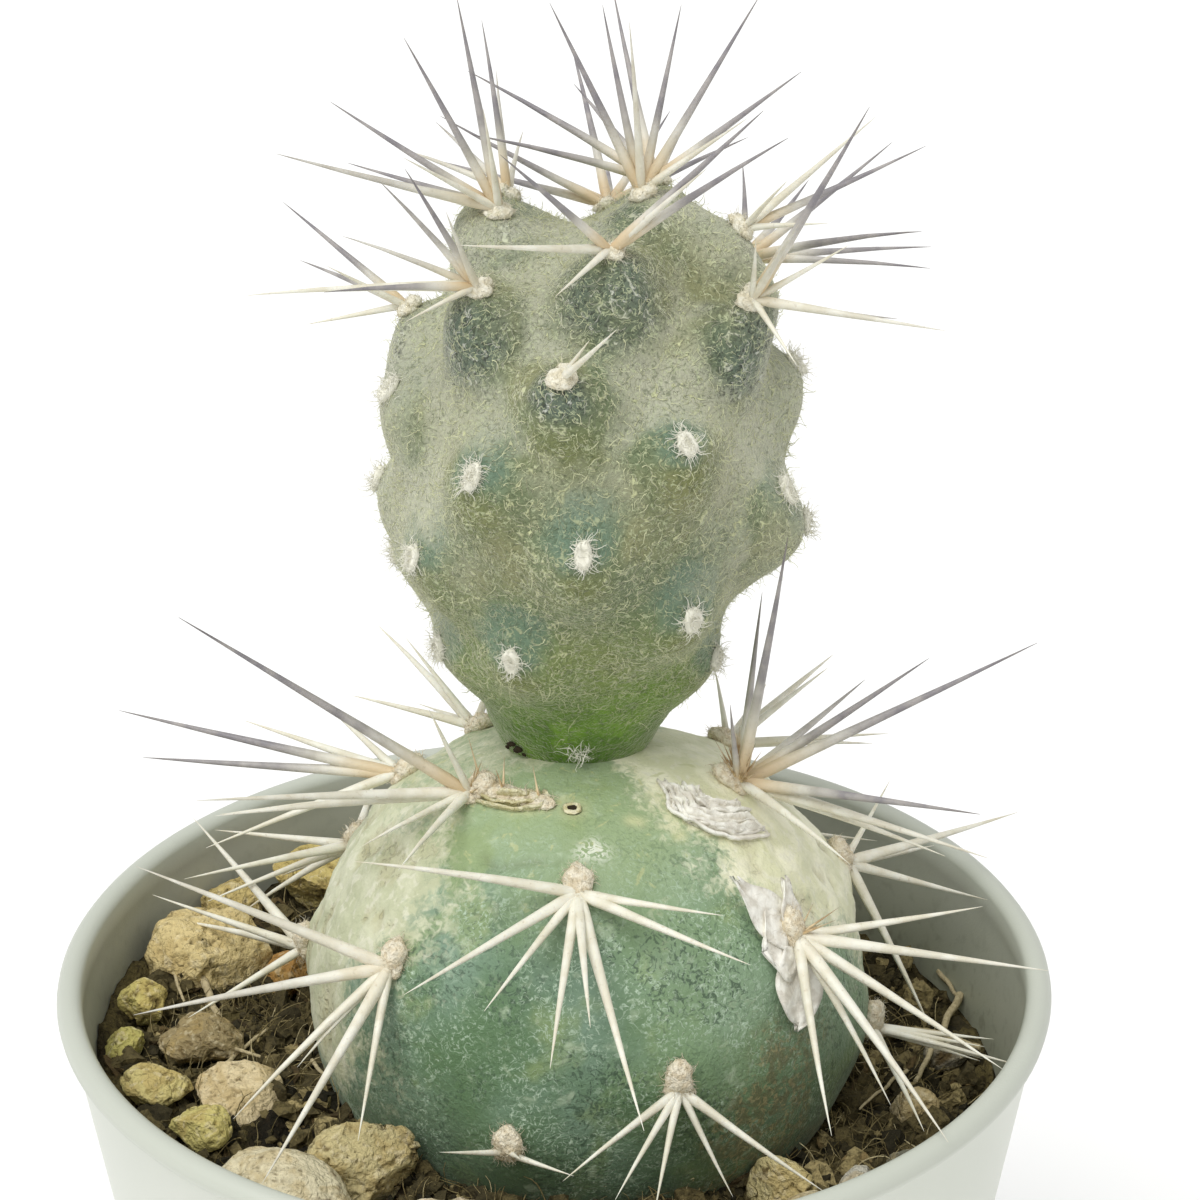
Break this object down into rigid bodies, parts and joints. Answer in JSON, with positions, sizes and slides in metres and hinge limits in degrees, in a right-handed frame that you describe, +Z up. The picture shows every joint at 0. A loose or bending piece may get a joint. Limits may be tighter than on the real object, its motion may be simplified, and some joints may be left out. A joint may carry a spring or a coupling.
{
  "type": "potted jointed cactus",
  "caption": "Potted cactus: a round stem joint half sunk in gritty soil and an egg-shaped knobbly one standing on it, with wool cushions and long spines.",
  "frame": {"origin": "centre of the pot's underside, on the surface it stands on", "axes": "+Z up along the pot's axis, -Y towards the side the picture shows, +X to its right"},
  "size_m": [0.085, 0.085, 0.1527],
  "materials": {
    "pot": "satin moulded plastic, slightly speckled, with a rolled bead at the rim",
    "soil": "dark fibrous peat mix with fine grit",
    "stone": "rough pumice and ochre gravel, each lump in its own shade",
    "lower_stem": "velvety blue-green skin, bleached and corky on its shoulders",
    "upper_stem": "velvety grey-green skin, fresh green at its narrow foot",
    "lower_spines": "dry grey to cream spines in beige wool",
    "upper_spines": "dry cream to grey-lavender spines in pale wool"
  },
  "bodies": {
    "root": {"pot": "pot", "soil": "soil", "stone_ochre_back": "stone", "stone_behind": "stone", "stone_small_back": "stone", "stone_big_tan": "stone", "stone_orange": "stone", "stone_yellow": "stone", "stone_yellow_low": "stone", "stone_grey_brown": "stone", "stone_cracked": "stone", "stone_flat": "stone", "stone_yellow_front": "stone", "stone_cream_smooth": "stone", "stone_porous": "stone", "stone_pinkish_rough": "stone", "stone_pinkish_front": "stone", "stone_ochre_right": "stone", "stone_tan_smooth": "stone", "stone_grey_white": "stone", "stone_dark": "stone", "stone_right": "stone", "stone_right_edge": "stone", "stone_back_right": "stone", "stone_back": "stone", "lower_segment": "lower_stem", "upper_segment": "upper_stem", "lower_spray_01": "lower_spines", "lower_spray_02": "lower_spines", "lower_spray_03": "lower_spines", "lower_spray_04": "lower_spines", "lower_spray_05": "lower_spines", "lower_spray_06": "lower_spines", "lower_spray_07": "lower_spines", "lower_spray_08": "lower_spines", "lower_spray_09": "lower_spines", "lower_spray_10": "lower_spines", "lower_spray_11": "lower_spines", "lower_spray_12": "lower_spines", "lower_spray_13": "lower_spines", "lower_spray_14": "lower_spines", "lower_spray_15": "lower_spines", "lower_spray_16": "lower_spines", "lower_spray_17": "lower_spines", "upper_spray_01": "upper_spines", "upper_spray_02": "upper_spines", "upper_spray_03": "upper_spines", "upper_spray_04": "upper_spines", "upper_spray_05": "upper_spines", "upper_spray_06": "upper_spines", "upper_spray_07": "upper_spines", "upper_spray_08": "upper_spines", "upper_spray_09": "upper_spines", "upper_spray_10": "upper_spines", "upper_spray_11": "upper_spines", "upper_spray_12": "upper_spines"}
  },
  "joints": []
}
